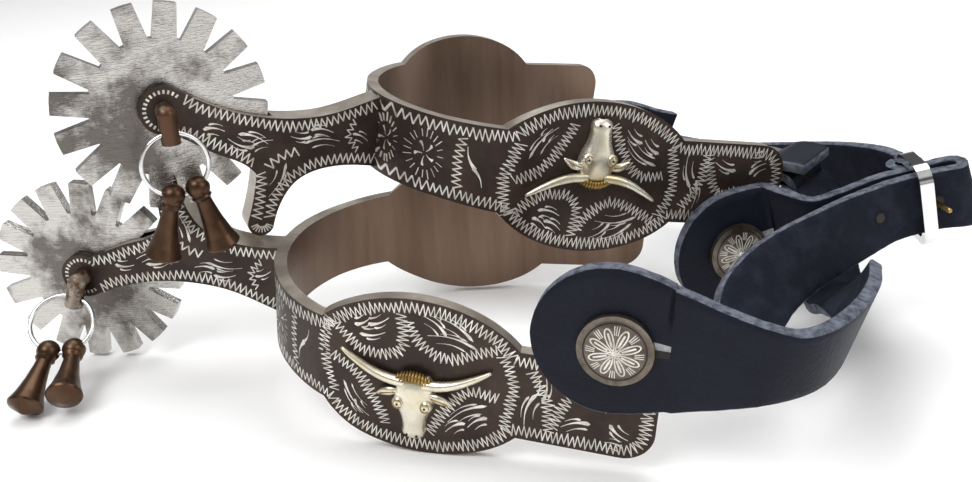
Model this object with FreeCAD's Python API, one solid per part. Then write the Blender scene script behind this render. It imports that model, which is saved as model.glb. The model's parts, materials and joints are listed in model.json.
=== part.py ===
# A pair of western spurs with leather straps, stacked: the lower spur stands on its rowel and side plates,
# and the upper spur lies over it upside down.  Millimetres, +Z up, table at z = 0.
import FreeCAD, Part
import math
import os

Vector = FreeCAD.Vector
Placement = FreeCAD.Placement
Rotation = FreeCAD.Rotation

# Heel band, in its own frame: x to the toe, y to the side, z up, origin at the back of the band.
BAND_THICK = 3.0
BACK_RADIUS = 46.0       # outer radius across the heel
SIDE_RADIUS = 27.0       # outer radius at each corner of the heel
BACK_ANGLE = 50.0        # half the angle of the back arc
SPLAY = 8.0              # how far each side opens towards the toe
BACK_HALF = 9.8          # half height of the band at the heel
BAND_HALF = 10.6         # half height along the sides
LOBE_X = 42.6            # middle of the round lobe
LOBE_LONG = 26.6
LOBE_HALF = 18.9
TAB_START = 58.0
TAB_END = 93.8
TAB_CORNER = 7.0
BUTTON_X = 84.0          # button on the ear of the tab
BUTTON_Z = 17.0
EAR_RADIUS = 9.0

# Shank, chap guard and rowel
SHANK_THICK = 7.8
HUB_X = -52.5
HUB_Z = -4.0
HUB_RADIUS = 5.9
ROWEL_RADIUS = 24.8
ROWEL_THICK = 2.8
ROWEL_TEETH = 16
TOOTH_ROOT = 16.6
ROOT_GAP = 0.9
TIP_GAP = 5.0
FORK_GAP = 3.4
FORK_RADIUS = 25.9

# Rowel pin with its bent, drilled end
PIN_RADIUS = 2.2
RUNNING_CLEARANCE = 0.05
PIN_HEAD_RADIUS = 3.4
PIN_HEAD_THICK = 1.2
PIN_LEG_OUT = 3.7        # from the shank's side to the middle of the leg
PIN_LEG_LENGTH = 7.0
PIN_HOLE_DROP = 4.5
PIN_HOLE_RADIUS = 1.15

# Jingle ring and bobs
RING_RADIUS = 7.7
WIRE_RADIUS = 0.575
BOB_HEAD_RADIUS = 2.9
BOB_HOLE_RADIUS = 1.2
BOB_PROFILE = [(2.2, 1.75), (2.5, 2.4), (1.9, 3.3), (2.05, 5.0), (2.6, 9.0), (3.5, 13.0), (4.4, 15.6),
               (4.15, 16.1), (0.5, 18.0)]

# Straps, buttons and buckles
STRAP_THICK = 2.8
STRAP_WIDTH = 16.0
ROUND_END = 16.5
STRAP_GAP = 0.1
BUTTON_RADIUS = 7.75
BUTTON_THICK = 2.3
POST_RADIUS = 2.1
RIVET_RADIUS = 3.6
RIVET_THICK = 0.9
FRAME_LONG = 21.2
FRAME_DEEP = 16.6
FRAME_WIRE = 2.2
FRAME_BAND = 3.2
PRONG_RADIUS = 0.95
PRONG_LENGTH = 15.6
PRONG_TILT = 11.5        # turns the finger just clear of the front bar
PRONG_HOLE_RADIUS = 1.9
SLEEVE_OUT = 4.4         # strap end wrapped round the frame's rear bar
SLEEVE_IN = 2.2
SLEEVE_WIDTH = 14.2
SLEEVE_SLOT = 3.6
EYE_RADIUS = 3.5
EYE_HOLE = 2.4
EYE_WIDE = 2.4

# How each spur lies: the place of its band's back, its turn, and the side that faces the front.
LOWER = Placement(Vector(0, 0, 23.9), Rotation(-7.8, 5.9, 0.9))
UPPER = Placement(Vector(24.6, 16.1, 56.9), Rotation(22.6, 10.7, 1.6) * Rotation(Vector(1, 0, 0), 180))
LOWER_FRONT = -1
UPPER_FRONT = 1


# ---- small helpers

def flat_face(edges):
    return Part.Face(Part.Wire(Part.__sortEdges__(edges)))


def polygon_face(points):
    return Part.Face(Part.makePolygon(points + [points[0]]))


def spline(points):
    curve = Part.BSplineCurve()
    curve.interpolate(points)
    return curve.toShape()


def unit(vector):
    return Vector(vector).normalize()


def turned(radii_and_drops, head_radius):
    """Solid of revolution hanging down from a ball head at the origin."""
    joint_radius, joint_drop = radii_and_drops[0]
    outline = [Vector(r, 0, -drop) for r, drop in radii_and_drops]
    outline = [Vector(0, 0, -joint_drop)] + outline + [Vector(0, 0, -radii_and_drops[-1][1])]
    body = polygon_face(outline).revolve(Vector(), Vector(0, 0, 1), 360)
    return body.fuse(Part.makeSphere(head_radius)).removeSplitter()


def axes_placement(origin, x_axis, z_axis):
    """Placement whose local z runs along z_axis and whose local x is as near as can be to x_axis."""
    z = unit(z_axis)
    x = unit(x_axis - z * x_axis.dot(z))
    y = z.cross(x)
    matrix = FreeCAD.Matrix(x.x, y.x, z.x, origin.x, x.y, y.y, z.y, origin.y, x.z, y.z, z.z, origin.z)
    return Placement(matrix)


# ---- heel band

def side_centre(side):
    reach = BACK_RADIUS - SIDE_RADIUS
    angle = math.radians(BACK_ANGLE)
    return Vector(BACK_RADIUS - reach * math.cos(angle), side * reach * math.sin(angle), 0)


def side_start(side, inset):
    """Where a side plate's straight part begins, inset mm in from the outer face."""
    angle = math.radians(SPLAY)
    radius = SIDE_RADIUS - inset
    return side_centre(side) + Vector(-math.sin(angle), side * math.cos(angle), 0) * radius


def plan_edges(inset):
    """The band's line seen from above, inset mm in from its outer face, from side -1 to side 1."""
    back = math.radians(BACK_ANGLE)
    middle = math.radians((BACK_ANGLE + 90 - SPLAY) / 2)
    edges = [Part.Arc(back_point(-back, inset), Vector(inset, 0, 0), back_point(back, inset)).toShape()]
    for side in (-1, 1):
        start = side_start(side, inset)
        half = side_centre(side) + Vector(-math.cos(middle), side * math.sin(middle), 0) * (SIDE_RADIUS - inset)
        edges.append(Part.Arc(back_point(side * back, inset), half, start).toShape())
        edges.append(Part.LineSegment(start, plate_point(side, TAB_END + 10, inset)).toShape())
    return edges


def back_point(angle, inset):
    radius = BACK_RADIUS - inset
    return Vector(BACK_RADIUS - radius * math.cos(angle), radius * math.sin(angle), 0)


def plate_point(side, x, inset=0.0, z=0.0):
    """A point on a side plate's straight part."""
    start = side_start(side, inset)
    return Vector(x, start.y + side * (x - start.x) * math.tan(math.radians(SPLAY)), z)


def plate_frame(side, x, z):
    """Placement on a plate's outer face: local x to the toe, z outwards."""
    angle = math.radians(SPLAY)
    along = Vector(math.cos(angle), side * math.sin(angle), 0)
    out = Vector(-math.sin(angle), side * math.cos(angle), 0)
    return axes_placement(plate_point(side, x, 0, z), along, out)


def side_outline():
    """Heights of band, lobe, tab and ear, seen from the side, as one solid right across the spur."""
    depth = Vector(0, 140, 0)
    y = -70
    strip = polygon_face([Vector(x, y, z) for x, z in (
        (-2, -BACK_HALF), (9, -BACK_HALF), (26, -BAND_HALF), (70, -BAND_HALF),
        (70, BAND_HALF), (26, BAND_HALF), (9, BACK_HALF), (-2, BACK_HALF))])
    ellipse = Part.Ellipse(Vector(0, 0, 0), LOBE_LONG, LOBE_HALF).toShape()
    lobe = Part.Face(Part.Wire(ellipse))
    lobe.rotate(Vector(), Vector(1, 0, 0), 90)
    lobe.translate(Vector(LOBE_X, y, 0))
    solids = [strip.extrude(depth), lobe.extrude(depth), tab_solid(y, depth.y), ear_solid(y, depth.y)]
    return solids[0].multiFuse(solids[1:])


def tab_solid(y, depth):
    box = Part.makeBox(TAB_END - TAB_START, depth, 2 * BAND_HALF, Vector(TAB_START, y, -BAND_HALF))
    ends = [e for e in box.Edges if abs(e.BoundBox.XMin - TAB_END) < 1e-6 and e.BoundBox.YLength > 1]
    return box.makeFillet(TAB_CORNER, ends)


def ear_solid(y, depth):
    disc = Part.makeCylinder(EAR_RADIUS, depth, Vector(BUTTON_X, y, BUTTON_Z), Vector(0, 1, 0))
    neck = Part.makeBox(2 * EAR_RADIUS, depth, BUTTON_Z, Vector(BUTTON_X - EAR_RADIUS, y, 0))
    return disc.fuse(neck)


def make_band():
    outer = plan_edges(0)
    inner = plan_edges(BAND_THICK)
    ends = []
    for side in (-1, 1):
        tips = (plate_point(side, TAB_END + 10, 0), plate_point(side, TAB_END + 10, BAND_THICK))
        ends.append(Part.LineSegment(*tips).toShape())
    plan = flat_face(outer + inner + ends)
    plan.translate(Vector(0, 0, -40))
    band = plan.extrude(Vector(0, 0, 80)).common(side_outline()).removeSplitter()
    for side in (-1, 1):
        frame = plate_frame(side, BUTTON_X, BUTTON_Z)
        hole = Part.makeCylinder(POST_RADIUS + RUNNING_CLEARANCE, 12, Vector(0, 0, -6))
        hole.Placement = frame
        band = band.cut(hole)
    return band


# ---- shank, rowel and pin

def make_shank():
    """Fork, hub and chap guard in one bar, its front shaped to the back of the band."""
    under = spline([Vector(x, 0, z) for x, z in (
        (3, -10.2), (-5, -7.0), (-13, -4.2), (-24, -2.9), (-33, -3.5), (-42, -5.8), (-49.1, -8.8))])
    hub = Part.Arc(Vector(-49.1, 0, -8.8), Vector(HUB_X - HUB_RADIUS, 0, HUB_Z), Vector(-50.5, 0, 1.5)).toShape()
    over = spline([Vector(x, 0, z) for x, z in ((-50.5, 1.5), (-46, 3.6), (-40, 6.4), (-34, 8.6), (-30.2, 11.5))])
    back = spline([Vector(x, 0, z) for x, z in ((-30.2, 11.5), (-30.6, 18), (-31.6, 24))])
    tip = Part.Arc(Vector(-31.6, 0, 24), Vector(-28.6, 0, 27.8), Vector(-25.0, 0, 24.6)).toShape()
    front = spline([Vector(x, 0, z) for x, z in (
        (-25.0, 24.6), (-23.6, 19.0), (-20.0, 13.2), (-12, 9.5), (-4, 8.9), (3, 9.4))])
    nose = Part.LineSegment(Vector(3, 0, 9.4), Vector(3, 0, -10.2)).toShape()
    face = flat_face([under, hub, over, back, tip, front, nose])
    face.translate(Vector(0, -SHANK_THICK / 2, 0))
    bar = face.extrude(Vector(0, SHANK_THICK, 0))
    heel = Part.makeCylinder(BACK_RADIUS, 60, Vector(BACK_RADIUS, 0, -30))
    fork = Part.makeCylinder(FORK_RADIUS, FORK_GAP, Vector(HUB_X, -FORK_GAP / 2, HUB_Z), Vector(0, 1, 0))
    bore = Part.makeCylinder(PIN_RADIUS + RUNNING_CLEARANCE, 20, Vector(HUB_X, -10, HUB_Z), Vector(0, 1, 0))
    return bar.cut(heel).cut(fork).cut(bore)


def make_rowel():
    disc = Part.makeCylinder(ROWEL_RADIUS, ROWEL_THICK, Vector(0, 0, -ROWEL_THICK / 2))
    notch = polygon_face([Vector(TOOTH_ROOT, -ROOT_GAP / 2, 0), Vector(ROWEL_RADIUS + 1, -TIP_GAP / 2 - 0.2, 0),
                          Vector(ROWEL_RADIUS + 1, TIP_GAP / 2 + 0.2, 0), Vector(TOOTH_ROOT, ROOT_GAP / 2, 0)])
    notch.translate(Vector(0, 0, -ROWEL_THICK))
    wedge = notch.extrude(Vector(0, 0, 2 * ROWEL_THICK))
    cuts = []
    for i in range(ROWEL_TEETH):
        cut = wedge.copy()
        cut.rotate(Vector(), Vector(0, 0, 1), (i + 0.5) * 360 / ROWEL_TEETH)
        cuts.append(cut)
    cuts.append(Part.makeCylinder(PIN_RADIUS + RUNNING_CLEARANCE, 10, Vector(0, 0, -5)))
    rowel = disc.cut(cuts)
    rowel.rotate(Vector(), Vector(1, 0, 0), 90)
    rowel.translate(Vector(HUB_X, 0, HUB_Z))
    return rowel


def make_pin(front, down):
    """Round pin across the hub, headed on the inner side, bent down and drilled on the front side."""
    across = Vector(0, front, 0)
    hub = Vector(HUB_X, 0, HUB_Z)
    half = SHANK_THICK / 2
    far = half + 0.15
    shaft = Part.makeCylinder(PIN_RADIUS, far + half + PIN_LEG_OUT, hub - across * far, across)
    head = Part.makeCylinder(PIN_HEAD_RADIUS, PIN_HEAD_THICK, hub - across * (far + PIN_HEAD_THICK), across)
    elbow = hub + across * (half + PIN_LEG_OUT)
    leg = Part.makeCylinder(PIN_RADIUS + 0.05, PIN_LEG_LENGTH, elbow, down)
    knee = Part.makeSphere(PIN_RADIUS + 0.05, elbow)
    hole = elbow + down * PIN_HOLE_DROP
    sideways = across.cross(down)
    bore = Part.makeCylinder(PIN_HOLE_RADIUS, 12, hole - sideways * 6, sideways)
    pin = shaft.multiFuse([head, leg, knee]).cut(bore).removeSplitter()
    return pin, hole


# ---- ornament and button

def make_longhorn(side):
    """Steer's head in relief: a tapered face, two curved horns and two ears, on the middle of the lobe."""
    def outline(points, thick):
        curve = Part.BSplineCurve()
        curve.interpolate([Vector(x, y, 0) for x, y in points], PeriodicFlag=True)
        return Part.Face(Part.Wire(curve.toShape())).extrude(Vector(0, 0, thick))
    face = outline([(0, 1.6), (3.5, 0.4), (4.2, -4.5), (2.6, -10.0), (2.7, -13.2), (0, -14.8), (-2.7, -13.2),
                    (-2.6, -10.0), (-4.2, -4.5), (-3.5, 0.4)], 3.0)
    pieces = [face]
    for hand in (-1, 1):
        horn = [(2.5, 0.3), (8.0, 0.8), (12.5, 2.6), (16.9, 5.2), (12.5, 0.6), (8.0, -1.5), (2.5, -2.4)]
        ear = [(3.0, -2.4), (6.0, -2.8), (8.2, -4.6), (5.6, -5.2), (3.2, -4.2)]
        pieces.append(outline([(hand * x, y) for x, y in horn], 2.2))
        pieces.append(outline([(hand * x, y) for x, y in ear], 1.6))
    shape = pieces[0].multiFuse(pieces[1:]).removeSplitter()
    upright = Rotation(Vector(0, 0, 1), 0 if side < 0 else 180)
    shape.Placement = plate_frame(side, LOBE_X - 0.4, 0) * Placement(Vector(0, 0, 0.02), upright)
    return shape


def make_button(side):
    """Domed head outside the strap, post through strap and ear, small rivet head inside."""
    lift = STRAP_GAP + STRAP_THICK + STRAP_GAP
    dome_radius = 24.0
    rim = 1.3
    head = Part.makeCylinder(BUTTON_RADIUS, BUTTON_THICK, Vector(0, 0, lift))
    dome = Part.makeSphere(dome_radius, Vector(0, 0, lift + BUTTON_THICK - dome_radius))
    head = head.common(dome.fuse(Part.makeCylinder(BUTTON_RADIUS, rim, Vector(0, 0, lift))))
    post = Part.makeCylinder(POST_RADIUS, lift + BAND_THICK + 0.2, Vector(0, 0, -BAND_THICK - 0.1))
    rivet = Part.makeCylinder(RIVET_RADIUS, RIVET_THICK, Vector(0, 0, -BAND_THICK - 0.05 - RIVET_THICK))
    button = head.multiFuse([post, rivet]).removeSplitter()
    button.Placement = plate_frame(side, BUTTON_X, BUTTON_Z)
    return button


# ---- straps

def ribbon(stations, thick=STRAP_THICK):
    """Flat strap through stations of (centre, direction of its width, width, its own direction or None)."""
    sections = []
    last = len(stations) - 1
    for i, (centre, across, width, heading) in enumerate(stations):
        tangent = heading or unit(stations[min(i + 1, last)][0] - stations[max(i - 1, 0)][0])
        up = unit(across - tangent * across.dot(tangent))
        out = tangent.cross(up)
        corners = [centre + up * (a * width / 2) + out * (b * thick / 2)
                   for a, b in ((1, 1), (1, -1), (-1, -1), (-1, 1))]
        sections.append(Part.makePolygon(corners + [corners[0]]))
    return Part.makeLoft(sections, True, True)


def round_end(place, side, shift, slope, neck):
    """Stations of the round button end, which lies on the ear and leads off at a slope in the plate's plane."""
    frame = place * plate_frame(side, BUTTON_X, BUTTON_Z)
    lift = STRAP_GAP + STRAP_THICK / 2
    direction = Vector(math.cos(math.radians(slope)), math.sin(math.radians(slope)), 0)
    width_axis = frame.Rotation.multVec(Vector(-direction.y, direction.x, 0))
    if width_axis.z < 0:
        width_axis = width_axis * -1
    stations = []
    for reach in (-0.97, -0.85, -0.6, -0.3, 0.0, 0.35, 0.7):
        width = 2 * ROUND_END * math.sqrt(1 - reach * reach) if reach < 0 else neck(reach)
        point = shift + direction * (reach * ROUND_END) + Vector(0, 0, lift)
        stations.append((frame.multVec(point), width_axis, width, frame.Rotation.multVec(direction)))
    return stations


def taper(reach):
    """Width just past the middle of the round end, where it draws in to the strap."""
    return 2 * ROUND_END - (2 * ROUND_END - STRAP_WIDTH) * 0.55 * reach ** 1.6


def world(points):
    """Stations from rows of x, y, z, width direction x, y, z, width."""
    return [(Vector(*row[0:3]), Vector(*row[3:6]), row[6], None) for row in points]


# Free part of each strap, from the round end on: centre, direction of the width, width.
LOWER_FRONT_RUN = [
    (101.5, -72.0, 31.4, 0.0, 0.0, 1.0, 18.5), (109.0, -73.0, 31.1, 0.0, -0.2, 0.98, 16.0),
    (116.0, -70.5, 31.6, 0.03, -0.28, 0.96, 16.0), (123.3, -62.5, 31.5, 0.12, -0.29, 0.95, 16.0),
    (129.9, -50.5, 30.1, 0.2, -0.32, 0.93, 16.0), (134.2, -37.5, 27.8, 0.35, -0.3, 0.88, 16.0),
    (137.2, -26.0, 22.6, 0.65, -0.25, 0.7, 16.0), (138.8, -15.5, 16.2, 0.9, -0.05, 0.4, 16.0),
    (141.2, -4.5, 13.0, 0.97, 0.05, 0.1, 16.0), (142.6, 4.0, 14.4, 0.97, -0.05, 0.02, 16.0),
    (144.0, 9.6, 18.9, 0.9, 0.2, -0.15, 16.0), (144.6, 12.2, 24.6, 0.8, 0.55, -0.12, 16.0),
    (143.4, 13.6, 30.0, 0.71, 0.69, 0.05, 16.0), (140.6, 15.8, 33.7, 0.69, 0.71, 0.115, 16.0),
    (137.0, 19.1, 35.1, 0.69, 0.71, 0.115, 16.0)]
LOWER_REAR_RUN = [
    (104.5, 42.0, 33.6, 0.0, -0.1, 1.0, 20.0), (112.5, 41.6, 34.4, -0.15, -0.5, 0.85, 16.0),
    (119.2, 36.9, 34.2, -0.5, -0.75, 0.4, 16.0), (123.7, 32.2, 34.0, -0.69, -0.71, -0.115, 15.1),
    (127.0, 29.1, 33.5, -0.69, -0.71, -0.115, 15.1), (128.2, 27.8, 34.1, -0.69, -0.71, -0.115, 15.1),
    (133.9, 21.2, 40.3, -0.69, -0.71, -0.115, 15.1), (136.8, 18.3, 41.7, -0.69, -0.71, -0.115, 15.1),
    (141.0, 14.2, 41.4, -0.69, -0.71, -0.115, 14.0)]
UPPER_FRONT_RUN = [
    (136.0, -2.4, 28.6, -0.3, 0.0, 0.95, 18.5), (144.0, -3.2, 31.8, -0.34, 0.0, 0.94, 16.0),
    (152.0, -4.2, 35.2, -0.25, 0.0, 0.96, 16.0), (160.0, -4.6, 37.0, -0.2, 0.0, 0.97, 16.0),
    (166.0, -4.0, 38.3, -0.22, 0.0, 0.97, 16.0), (170.0, -4.8, 39.2, -0.35, 0.0, 0.94, 16.0),
    (171.6, -7.2, 39.2, -0.35, 0.0, 0.94, 16.0), (169.8, -9.7, 38.8, -0.3, 0.0, 0.95, 16.0),
    (165.4, -9.4, 38.2, -0.22, 0.0, 0.97, 15.6), (160.0, -8.8, 37.2, -0.2, 0.0, 0.97, 15.4),
    (151.0, -11.2, 36.0, -0.22, 0.02, 0.97, 15.4), (142.0, -14.4, 33.8, -0.38, 0.1, 0.92, 16.0),
    (133.2, -19.0, 31.9, -0.42, 0.15, 0.9, 16.5), (124.7, -24.2, 30.2, -0.46, 0.22, 0.86, 17.0),
    (116.9, -30.6, 28.4, -0.5, 0.3, 0.82, 17.5), (110.8, -37.5, 25.8, -0.52, 0.4, 0.75, 17.5),
    (107.0, -43.5, 22.6, -0.5, 0.45, 0.74, 15.0)]
UPPER_REAR_RUN = [
    (98.0, 99.0, 22.0, 0.0, 0.0, 1.0, 19.0), (108.0, 93.0, 22.0, 0.0, 0.0, 1.0, 16.0),
    (120.0, 76.0, 22.4, 0.0, 0.0, 1.0, 16.0), (132.0, 59.0, 25.0, -0.05, 0.05, 1.0, 16.0),
    (144.0, 42.0, 29.6, -0.1, 0.1, 1.0, 16.0), (153.0, 26.0, 34.0, -0.15, 0.1, 1.0, 16.0),
    (158.2, 12.0, 37.0, -0.2, 0.05, 0.97, 16.0), (160.2, 5.2, 37.4, -0.2, 0.03, 0.97, 16.0)]


def make_strap(place, side, shift, slope, run, bar, prong=None):
    """Strap from its round end on: wrapped round the buckle's rear bar, or with a hole for its prong."""
    stations = round_end(place, side, shift, slope, taper) + world(run)
    strap = ribbon(stations)
    hole = Part.makeCylinder(POST_RADIUS + 0.5, 20, Vector(0, 0, -1))
    hole.Placement = place * plate_frame(side, BUTTON_X, BUTTON_Z)
    strap = strap.cut(hole)
    point, across = bar
    if prong:
        strap = strap.cut(Part.makeCylinder(PRONG_HOLE_RADIUS, FRAME_DEEP, point, prong))
    else:
        start = point - across * (SLEEVE_WIDTH / 2)
        sleeve = Part.makeCylinder(SLEEVE_OUT, SLEEVE_WIDTH, start, across)
        room = Part.makeCylinder(SLEEVE_IN, SLEEVE_WIDTH + 8, start - across * 4, across)
        slot = Part.makeCylinder(SLEEVE_OUT + 3, SLEEVE_SLOT, point - across * (SLEEVE_SLOT / 2), across)
        strap = strap.fuse(sleeve).cut([room, slot]).removeSplitter()
    return strap


# ---- buckles

def make_buckle(centre, along, across):
    """Rectangular frame round the strap with rounded corners: the strap runs along, its width lies across."""
    place = axes_placement(centre, across, along)
    outer = Part.makeBox(FRAME_LONG, FRAME_DEEP, FRAME_BAND, Vector(-FRAME_LONG / 2, -FRAME_DEEP / 2, -FRAME_BAND / 2))
    outer = outer.makeFillet(4.5, [e for e in outer.Edges if e.BoundBox.ZLength > 1])
    long_in = FRAME_LONG - 2 * FRAME_WIRE
    deep_in = FRAME_DEEP - 2 * FRAME_WIRE
    inner = Part.makeBox(long_in, deep_in, 10, Vector(-long_in / 2, -deep_in / 2, -5))
    inner = inner.makeFillet(2.2, [e for e in inner.Edges if e.BoundBox.ZLength > 1])
    frame = outer.cut(inner)
    frame.Placement = place
    return frame


def make_prong(bar, across, toward):
    """Prong that swings on the frame's rear bar: an eye round the bar and a finger past the front bar."""
    start = bar + toward * (EYE_HOLE + 0.4)
    finger = Part.makeCone(PRONG_RADIUS, 0.6, PRONG_LENGTH, start, toward)
    tip = Part.makeSphere(0.6, start + toward * PRONG_LENGTH)
    eye = Part.makeCylinder(EYE_RADIUS, EYE_WIDE, bar - across * (EYE_WIDE / 2), across)
    clear = Part.makeCylinder(EYE_HOLE, 6, bar - across * 3, across)
    return eye.multiFuse([finger, tip]).cut(clear).removeSplitter()


# ---- assembly

def make_drops(hole, out, leg, tilt, bobs):
    """Ring through the pin's hole and two bobs on it, as they hang or lie.

    tilt swings the ring outwards from the line of the pin's leg; each bob has its place round the ring,
    from the bottom towards +X, and the direction that it points in.
    """
    aside = out.cross(leg)
    if aside.x < 0:
        aside = aside * -1
    hang = leg * math.cos(math.radians(tilt)) + out * math.sin(math.radians(tilt))
    centre = hole + hang * RING_RADIUS
    ring = Part.makeTorus(RING_RADIUS, WIRE_RADIUS)
    ring.Placement = axes_placement(centre, aside, aside.cross(hang))
    shapes = {"jingle_ring": ring}
    marks = {"jingle_ring": (hole, aside)}
    for name, angle, axis in bobs:
        turn = math.radians(angle)
        head = centre + (aside * math.sin(turn) + hang * math.cos(turn)) * RING_RADIUS
        tangent = aside * math.cos(turn) - hang * math.sin(turn)
        bob = turned(BOB_PROFILE, BOB_HEAD_RADIUS)
        bob.Placement = axes_placement(head, tangent, Vector(*axis) * -1)
        bore = Part.makeCylinder(BOB_HOLE_RADIUS, 10, head - tangent * 5, tangent)
        shapes[name] = bob.cut(bore)
        marks[name] = (head, tangent)
    return shapes, marks


def make_spur(prefix, place, front, sway, drop_setting):
    """Every metal piece of one spur, placed, with the axes that its loose pieces turn about.

    sway turns the pin's bent end away from straight down, towards +X.
    """
    down = place.Rotation.inverted().multVec(Vector(math.sin(math.radians(sway)), 0, -math.cos(math.radians(sway))))
    down = unit(Vector(down.x, 0, down.z))
    pin, hole = make_pin(front, down)
    shapes = {"heel_band": make_band(), "shank": make_shank(), "rowel": make_rowel(), "rowel_pin": pin}
    for word, side in (("front", front), ("rear", -front)):
        shapes["longhorn_" + word] = make_longhorn(side)
        shapes["button_" + word] = make_button(side)
    placed = {}
    for name, shape in shapes.items():
        moved = shape.copy()
        moved.Placement = place * shape.Placement
        placed[prefix + name] = moved
    out = place.Rotation.multVec(Vector(0, front, 0))
    hub = place.multVec(Vector(HUB_X, 0, HUB_Z))
    drops, marks = make_drops(place.multVec(hole), out, place.Rotation.multVec(down), *drop_setting)
    marks["rowel"] = (hub, out)
    marks["rowel_pin"] = (hub, out)
    placed.update({prefix + name: shape for name, shape in drops.items()})
    axes = {prefix + name: mark for name, mark in marks.items()}
    return placed, axes


def buckle_axes(centre, along, across, bar_side):
    """Square up a buckle's directions, and find the bar that its strap is folded round and its prong's line.

    along is square to the frame, across runs along its bars, and bar_side is 1 for the bar away from the front.
    """
    across = unit(Vector(*across))
    along = Vector(*along)
    along = unit(along - across * along.dot(across))
    rear = along.cross(across)
    if rear.y * bar_side < 0:
        rear = rear * -1
    tilt = math.radians(PRONG_TILT)
    toward = rear * -math.cos(tilt) + along * math.sin(tilt)
    return along, across, Vector(*centre) + rear * (FRAME_DEEP / 2 - FRAME_WIRE / 2), toward


def build():
    """All the pieces by node name, and the axes of the joints, with the origin under the middle of the pair."""
    lower_drops = (48, [("jingle_bob_left", 0, (-0.13, -0.88, -0.46)),
                        ("jingle_bob_right", 47, (0.12, -0.95, -0.3))])
    upper_drops = (0, [("jingle_bob_left", -13, (-0.33, 0, -1)), ("jingle_bob_right", 33, (0.22, 0.1, -1))])
    shapes, axes = make_spur("lower_", LOWER, LOWER_FRONT, -20, lower_drops)
    more_shapes, more_axes = make_spur("upper_", UPPER, UPPER_FRONT, 0, upper_drops)
    shapes.update(more_shapes)
    axes.update(more_axes)
    buckles = (
        ("lower_", (131.8, 24.0, 36.0), (0.007, -0.166, 0.986), (0.692, 0.7125, 0.115), -1),
        ("upper_", (160.0, -5.6, 37.0), (1.0, -0.05, 0.2), (-0.2, 0.0, 0.97), 1))
    held = {}
    for prefix, centre, *rest in buckles:
        along, across, bar, toward = buckle_axes(centre, *rest)
        shapes[prefix + "buckle_frame"] = make_buckle(Vector(*centre), along, across)
        shapes[prefix + "buckle_prong"] = make_prong(bar, across, toward)
        axes[prefix + "buckle_prong"] = (bar, across)
        held[prefix] = ((bar, across), toward)
    bar, toward = held["lower_"]
    upper_bar, upper_toward = held["upper_"]
    flat = Vector(0, 0, 0)
    straps = (
        ("lower_strap_front", LOWER, LOWER_FRONT, Vector(-1.0, 1.0, 0), 0, LOWER_FRONT_RUN, bar),
        ("lower_strap_rear", LOWER, -LOWER_FRONT, Vector(0, -5.0, 0), 0, LOWER_REAR_RUN, bar, toward),
        ("upper_strap_front", UPPER, UPPER_FRONT, flat, 30, UPPER_FRONT_RUN, upper_bar, upper_toward),
        ("upper_strap_rear", UPPER, -UPPER_FRONT, flat, 0, UPPER_REAR_RUN, upper_bar))
    for name, *rest in straps:
        shapes[name] = make_strap(*rest)
    box = FreeCAD.BoundBox()
    for shape in shapes.values():
        box.add(shape.optimalBoundingBox(True, False))
    shift = Vector(-box.Center.x, -box.Center.y, -box.ZMin)
    for shape in shapes.values():
        shape.translate(shift)
    axes = {name: (point + shift, axis) for name, (point, axis) in axes.items()}
    return shapes, axes, shift


def main():
    os.makedirs("parts", exist_ok=True)
    shapes = build()[0]
    for name, shape in shapes.items():
        shape.exportStep(os.path.join("parts", name + ".step"))


main()
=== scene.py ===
import json
import math
import random

import bpy
from mathutils import Matrix, Vector, noise


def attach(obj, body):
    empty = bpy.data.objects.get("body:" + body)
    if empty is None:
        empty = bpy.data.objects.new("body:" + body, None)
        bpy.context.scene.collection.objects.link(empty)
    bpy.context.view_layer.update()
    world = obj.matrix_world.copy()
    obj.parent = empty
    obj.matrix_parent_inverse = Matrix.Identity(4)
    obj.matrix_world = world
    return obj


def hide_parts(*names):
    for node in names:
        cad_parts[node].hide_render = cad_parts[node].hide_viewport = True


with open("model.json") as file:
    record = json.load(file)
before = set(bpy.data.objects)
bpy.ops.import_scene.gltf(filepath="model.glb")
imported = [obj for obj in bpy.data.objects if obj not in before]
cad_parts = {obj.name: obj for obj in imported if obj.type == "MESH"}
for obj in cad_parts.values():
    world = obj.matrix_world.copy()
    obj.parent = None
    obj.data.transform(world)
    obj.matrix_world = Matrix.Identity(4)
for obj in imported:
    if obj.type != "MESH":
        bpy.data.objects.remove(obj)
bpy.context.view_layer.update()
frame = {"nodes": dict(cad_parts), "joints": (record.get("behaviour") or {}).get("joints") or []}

MM = 0.001
dice = random.Random(7)

# ---- driving sizes, in mm, as in the CAD

BACK_RADIUS = 46.0
SIDE_RADIUS = 27.0
BACK_ANGLE = math.radians(50)
SPLAY = math.radians(8)
BACK_HALF = 9.8
BAND_HALF = 10.6
LOBE_X = 42.6
LOBE_LONG = 26.6
LOBE_HALF = 18.9
TAB_END = 93.8
TAB_CORNER = 7.0
BUTTON_X = 84.0
BUTTON_Z = 17.0
BUTTON_TOP = 5.3
DOME_RADIUS = 24.0
HUB = Vector((-52.5, 0, -4.0))
SHANK_SIDE = 3.9
STRAP_THICK = 2.8
STRAP_WIDTH = 16.0
STRAP_GAP = 0.1             # between the strap's round end and the plate under it
STRAP_RIM = 0.28            # bevel of a strap's edges
ROUND_END = 16.5
FOLD_INNER = 2.2            # bore of the strap's fold round the buckle's bar
FOLD_OUTER = 4.4
FOLD_GAP = 1.8              # half of the gap in the fold that the prong comes through
FOLD_HALF = 7.1
CUT_LIFT = 0.05             # engraved cuts stand this far above the steel
BAND_CUT = 0.24             # width of a zigzag's line
SHANK_CUT = 0.32


def turn(yaw, pitch, roll):
    return (Matrix.Rotation(math.radians(yaw), 4, "Z") @ Matrix.Rotation(math.radians(pitch), 4, "Y")
            @ Matrix.Rotation(math.radians(roll), 4, "X"))


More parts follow.
